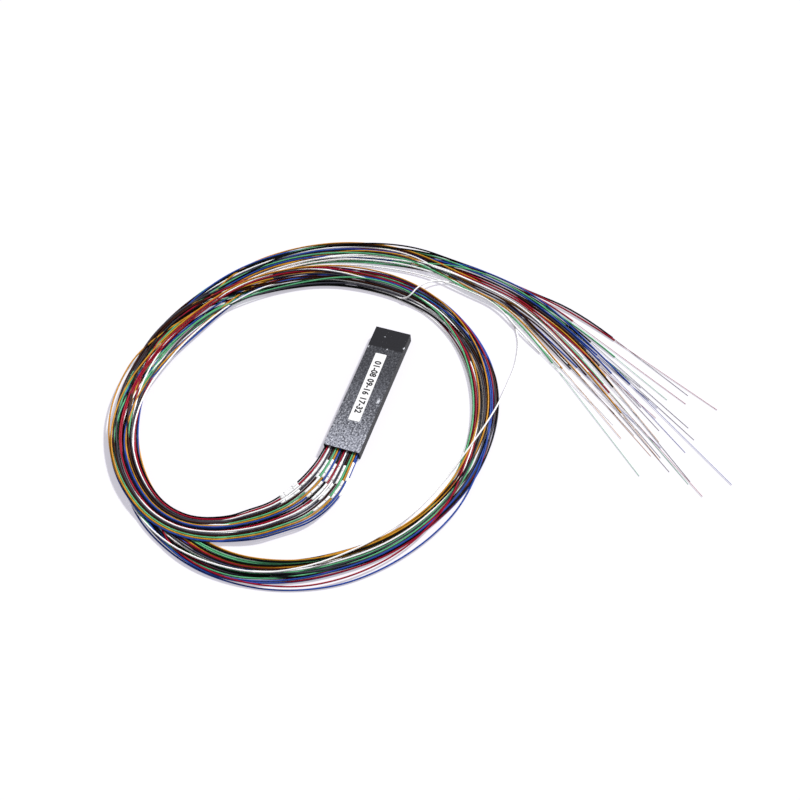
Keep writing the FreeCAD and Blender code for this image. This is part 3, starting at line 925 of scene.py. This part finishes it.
@dataclass
class Sleeves:
    """White number sleeves, one on each output fibre near the housing."""

    length: float = 0.0116
    outer: float = 0.00065
    inner: float = 0.00050
    edge: float = 0.00008
    around: int = 16
    steps: int = 10
    probe: float = 0.0005
    digit_height: float = 0.00085
    print_places: tuple[float, float] = (0.27, 0.73)
    print_lift: float = 0.00002

    def build(self, number: int, line: np.ndarray, film: Material,
              ink: Material) -> Object:
        """Return one fibre's sleeve with its number printed twice on top.

        Args:
            number: The fibre's number.
            line: Points along the fibre.
            film: The sleeve's material.
            ink: The number's material.

        Returns:
            The sleeve.
        """
        start = HOUSING_FRONT - JACKET_START + SLEEVE_STARTS[number - 1]
        points, skin = lofted(self._rings(line, start))
        faces = skin.tolist()
        slots = [0] * len(faces)
        for share in self.print_places:
            wrapped, letters = self._printed(number, line, start + share * self.length)
            faces += [[vertex + len(points) for vertex in face] for face in letters]
            slots += [1] * len(letters)
            points = np.vstack((points, wrapped))
        return add_mesh(f"number_sleeve_{number:02d}", points, faces, (film, ink), slots)

    def _rings(self, line: np.ndarray, start: float) -> np.ndarray:
        """Return the rings of the sleeve's skin, which runs outside, round the end and back inside.

        The surface is a profile of radii carried along the fibre's own line: ring i has its middle
        on the line and its points at radius r(i) from it.
        """
        places = np.linspace(0.0, self.length, self.steps)
        inset = np.array((0.0, self.edge))
        outside = np.concatenate((inset, places[1:-1], self.length - inset[::-1]))
        radius = np.full(len(outside), self.outer)
        radius[0] = radius[-1] = self.outer - self.edge
        profile_s = np.concatenate((outside, (self.length, 0.0)))
        profile_r = np.concatenate((radius, (self.inner, self.inner)))
        middles, side, level = self._frames(line, start + profile_s)
        turn = np.linspace(0.0, 2 * math.pi, self.around, endpoint=False)
        outward = (np.sin(turn)[None, :, None] * side[:, None, :]
                   + np.cos(turn)[None, :, None] * level[:, None, :])
        return middles[:, None, :] + profile_r[:, None, None] * outward

    def _frames(self, line: np.ndarray, distances: np.ndarray) -> tuple[np.ndarray, np.ndarray, np.ndarray]:
        """Return middles, sideways and upward directions at distances along a line."""
        middles = along(line, distances)
        ahead = unit(along(line, distances + self.probe) - along(line, distances - self.probe))
        side = unit(np.cross(ahead, UP))
        return middles, side, np.cross(side, ahead)

    def _printed(self, number: int, line: np.ndarray,
                 distance: float) -> tuple[np.ndarray, list[list[int]]]:
        """Return the points and faces of a number wrapped round the top, at a distance along a line."""
        mesh = text_mesh(str(number), self.digit_height)
        flat = mesh_points(mesh)
        middles, side, level = self._frames(line, distance + flat[:, 0])
        lean = -flat[:, 1] / self.outer
        reach = self.outer + self.print_lift
        wrapped = middles + reach * (np.sin(lean)[:, None] * side + np.cos(lean)[:, None] * level)
        letters = [list(face.vertices) for face in mesh.polygons]
        bpy.data.meshes.remove(mesh)
        return wrapped, letters


@dataclass
class Fibres:
    """The thirty-three jacketed fibres with their sleeves and bare tips."""

    routes: Routes = field(default_factory=Routes)
    sleeves: Sleeves = field(default_factory=Sleeves)
    film: PlainFinish = PlainFinish("sleeve_film", (0.93, 0.93, 0.93), 0.45, grain=3000.0, relief=0.00001)
    ink: PlainFinish = PlainFinish("sleeve_ink", (0.02, 0.02, 0.025), 0.5)

    def build(self) -> None:
        jackets = {colour: JacketFinish(colour).material() for colour in JacketColour}
        coatings = {colour: CoatedFinish(colour).material() for colour in JacketColour}
        film = self.film.material()
        ink = self.ink.material()
        for number in range(OUTPUTS + 1):
            colour = colour_of(number)
            points = self.routes.whole(number)
            jacket = add_spline(f"jacket_{number:02d}", points, JACKET_DIAMETER / 2)
            jacket.data.materials.append(jackets[colour])
            line = spline_line(jacket)
            self._add_tip(number, coatings[colour])
            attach(jacket, "root")
            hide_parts(name_of(number), "fibre_coil")
            on_it = [self._add_sleeve(number, line, film, ink)] if number else []

    def _add_tip(self, number: int, coating: Material) -> None:
        """Add the bare end of one fibre."""
        ends = self.routes.tip(number)
        tip = add_spline(f"bare_tip_{number:02d}", ends, COATED_DIAMETER / 2, per_point=2, order=2)
        tip.data.materials.append(coating)
        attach(tip, "root")
        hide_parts("bare_fibre_tips")

    def _add_sleeve(self, number: int, line: np.ndarray, film: Material,
                    ink: Material) -> Object:
        """Add the number sleeve of one fibre and return it."""
        sleeve = self.sleeves.build(number, line, film, ink)
        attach(sleeve, "root")
        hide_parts("number_sleeves")
        return sleeve


@dataclass
class Housing:
    """The black tube with its plug, seal and label."""

    plastic: PlainFinish = PlainFinish("black_plastic", (0.012, 0.012, 0.013), 0.55)
    film: PlainFinish = PlainFinish("label_film", (0.93, 0.93, 0.93), 0.42, grain=2500.0, relief=0.00001)
    ink: PlainFinish = PlainFinish("label_ink", (0.006, 0.006, 0.008), 0.5)
    label_turn: float = 1.1
    print_words: str = "01-08 09-16 17-32"
    print_fineness: int = 4
    print_height: float = 0.0034
    print_length: float = 0.0350
    print_weight: float = 0.060
    print_spacing: float = 1.05
    lift: float = 0.00001

    def build(self, nodes: Mapping[str, Object]) -> None:
        """Dress the CAD nodes and print the label."""
        dress(nodes["housing_tube"], AnodisedFinish().material())
        plastic = self.plastic.material()
        dress(nodes["rear_plug"], plastic)
        dress(nodes["front_seal"], plastic)
        dress(nodes["label"], self.film.material())
        self._print()

    def _print(self) -> None:
        """Print the numbers of the fibres along the label."""
        mesh = text_mesh(self.print_words, self.print_height, self.print_fineness, self.print_weight,
                         self.print_spacing)
        wide = np.ptp(mesh_points(mesh)[:, 0])
        low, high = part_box("label")
        middle = (low + high) / 2
        mesh.transform(Matrix.Translation((middle.x, middle.y, high.z + self.lift))
                       @ Matrix.Rotation(math.radians(self.label_turn), 4, "Z")
                       @ Matrix.Diagonal((self.print_length / wide, 1.0, 1.0, 1.0)))
        made = placed("label_print", mesh)
        mesh.materials.clear()
        mesh.materials.append(self.ink.material())
        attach(made, "root")
        LOG.info("label_print")


def dress(node: Object, material: Material) -> None:
    """Give a CAD node one material."""
    node.data.materials.clear()
    node.data.materials.append(material)
    LOG.info("%s in %s", node.name, material.name)


@dataclass
class Insides:
    """The optical chip and its arrays, sealed in the housing."""

    glass: PlainFinish = PlainFinish("array_glass", (0.82, 0.88, 0.90), 0.08, grain=800.0, relief=0.0,
                                     transmission=0.6)
    silicone: PlainFinish = PlainFinish("pad_silicone", (0.60, 0.60, 0.58), 0.6)
    ribbon: PlainFinish = PlainFinish("ribbon_matrix", (0.62, 0.66, 0.70), 0.3)
    ribbons: int = 4

    def build(self, nodes: Mapping[str, Object]) -> None:
        """Dress the sealed pieces."""
        glass = self.glass.material()
        silicone = self.silicone.material()
        ribbon = self.ribbon.material()
        for name in ("plc_chip", "chip_input_lid", "chip_output_lid", "input_array_block",
                     "input_array_lid", "output_array_block", "output_array_lid"):
            dress(nodes[name], glass)
        for name in ("chip_pad_rear", "chip_pad_front"):
            dress(nodes[name], silicone)
        for index in range(1, self.ribbons + 1):
            dress(nodes[f"fibre_ribbon_{index}"], ribbon)
        dress(nodes["input_lead"], CoatedFinish(JacketColour.WHITE).material())


@dataclass
class Studio:
    """White table, soft light and the camera.

    The table has one tone where the camera sees it and another where it throws light back.
    """

    camera_place: Triple = (0.364757, 0.187200, 0.587151)
    right: Triple = (-0.3342923, 0.94030609, -0.06382096)
    up: Triple = (-0.79014011, -0.24270574, 0.56282549)
    back: Triple = (0.51373852, 0.23857573, 0.82410822)
    lens: float = 60.0
    sensor: float = 36.0
    clip: tuple[float, float] = (0.01, 20.0)
    table_half: float = 3.0
    table_colour: Triple = (0.88, 0.88, 0.885)
    table_seen: Triple = (0.46, 0.46, 0.46)
    table_glow: Triple = (0.92, 0.89, 1.0)
    glow_strength: float = 0.505
    surround_colour: tuple[float, float, float, float] = (0.97, 0.955, 1.0, 1.0)
    surround_strength: float = 0.32
    sun_strength: float = 4.3
    sun_width: float = 6.0
    sun_heading: Triple = (0.97, -0.50, -1.0)

    def build(self) -> None:
        """Set up the table, the light and the camera."""
        self._table()
        self._surround()
        self._sun()
        self._camera()

    def _table(self) -> None:
        """Lay a wide pale sheet under everything."""
        half = self.table_half
        corners = np.array(((-half, -half, 0.0), (half, -half, 0.0), (half, half, 0.0), (-half, half, 0.0)))
        graph = Graph("white_table")
        ray = Socket(graph, graph.node("ShaderNodeLightPath", {}, {}).outputs["Is Camera Ray"])
        graph.shade(Base_Color=graph.mixed(self.table_colour, self.table_seen, ray), Roughness=0.9,
                    Emission_Color=graph.mixed((0.0, 0.0, 0.0), self.table_glow, ray),
                    Emission_Strength=self.glow_strength, Specular_IOR_Level=0.0)
        add_mesh("white_table", corners, [[0, 1, 2, 3]], (graph.material,), [0])

    def _surround(self) -> None:
        """Light the scene from all sides by a pale surround, which the camera sees as plain white."""
        world = bpy.data.worlds.new("surround")
        bpy.context.scene.world = world
        world.use_nodes = True
        tree = world.node_tree
        tree.nodes.clear()
        out, path, lit, seen, mix = [tree.nodes.new(f"ShaderNode{kind}") for kind in (
            "OutputWorld", "LightPath", "Background", "Background", "MixShader")]
        lit.inputs["Strength"].default_value = self.surround_strength
        lit.inputs["Color"].default_value = self.surround_colour
        seen.inputs["Color"].default_value = (1.0, 1.0, 1.0, 1.0)
        tree.links.new(path.outputs["Is Camera Ray"], mix.inputs[0])
        tree.links.new(lit.outputs[0], mix.inputs[1])
        tree.links.new(seen.outputs[0], mix.inputs[2])
        tree.links.new(mix.outputs[0], out.inputs[0])

    def _sun(self) -> None:
        """Add a soft sun, which shines down and towards +X and -Y."""
        lamp = bpy.data.lights.new("window", "SUN")
        lamp.energy = self.sun_strength
        lamp.angle = math.radians(self.sun_width)
        holder = placed("window", lamp)
        holder.rotation_mode = "QUATERNION"
        holder.rotation_quaternion = Vector(self.sun_heading).to_track_quat("-Z", "Y")

    def _camera(self) -> None:
        """Place the camera by its own three directions."""
        data = bpy.data.cameras.new("camera")
        data.lens = self.lens
        data.sensor_width = self.sensor
        data.clip_start, data.clip_end = self.clip
        holder = placed("camera", data)
        turned = Matrix((self.right, self.up, self.back)).transposed().to_4x4()
        holder.matrix_world = Matrix.Translation(self.camera_place) @ turned
        bpy.context.scene.camera = holder


def main() -> None:
    """Build the scene."""
    logging.basicConfig(level=logging.INFO, format="%(message)s")
    for scrap in list(bpy.data.objects):
        bpy.data.objects.remove(scrap)
    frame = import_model()
    bpy.context.scene.view_settings.view_transform = "Standard"
    Housing().build(frame["nodes"])
    Insides().build(frame["nodes"])
    Fibres().build()
    Studio().build()
    bpy.context.view_layer.update()


if __name__ == "__main__":
    main()
